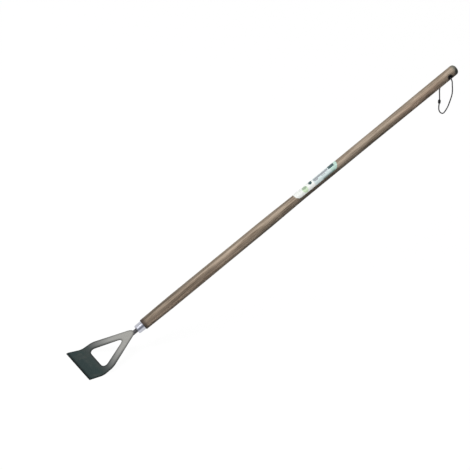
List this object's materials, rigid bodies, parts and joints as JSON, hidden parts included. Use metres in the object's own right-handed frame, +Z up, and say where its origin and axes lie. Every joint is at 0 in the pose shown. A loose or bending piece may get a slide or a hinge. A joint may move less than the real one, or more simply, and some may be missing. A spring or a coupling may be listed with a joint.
{
  "type": "dutch hoe",
  "caption": "Long-handled push hoe: pressed steel blade with a soil window, ferrule, waisted wooden handle and a hanging cord loop.",
  "frame": {"origin": "middle of the upper hand's grip, on the handle's axis, 0.25 m below its top end", "axes": "+X from the blade towards the handle's top along the ground, +Y along the cutting edge to the tool's left, +Z up from the level blade"},
  "size_m": [1.248, 0.1556, 0.6989],
  "materials": {
    "head_steel": "polished, fine brushed grain",
    "neck_steel": "dull",
    "ferrule_steel": "bright polished",
    "ash": "stained and oiled ash",
    "label_film": "coated film",
    "cord": "braided"
  },
  "bodies": {
    "tool": {"handle": "ash", "head_plate": "head_steel", "neck_rod": "neck_steel", "neck_weld": "neck_steel", "ferrule": "ferrule_steel", "ferrule_pin": "ferrule_steel", "handle_label": "label_film"},
    "hang_loop": {"hanging_cord": "cord", "cord_knot": "cord"}
  },
  "joints": [
    {"name": "loop_swing", "type": "hinge", "parent": "tool", "child": "hang_loop", "pos_m": [0.18889, 0, 0.10912], "axis": [0, -1, 0], "range_deg": [-50, 270]}
  ]
}
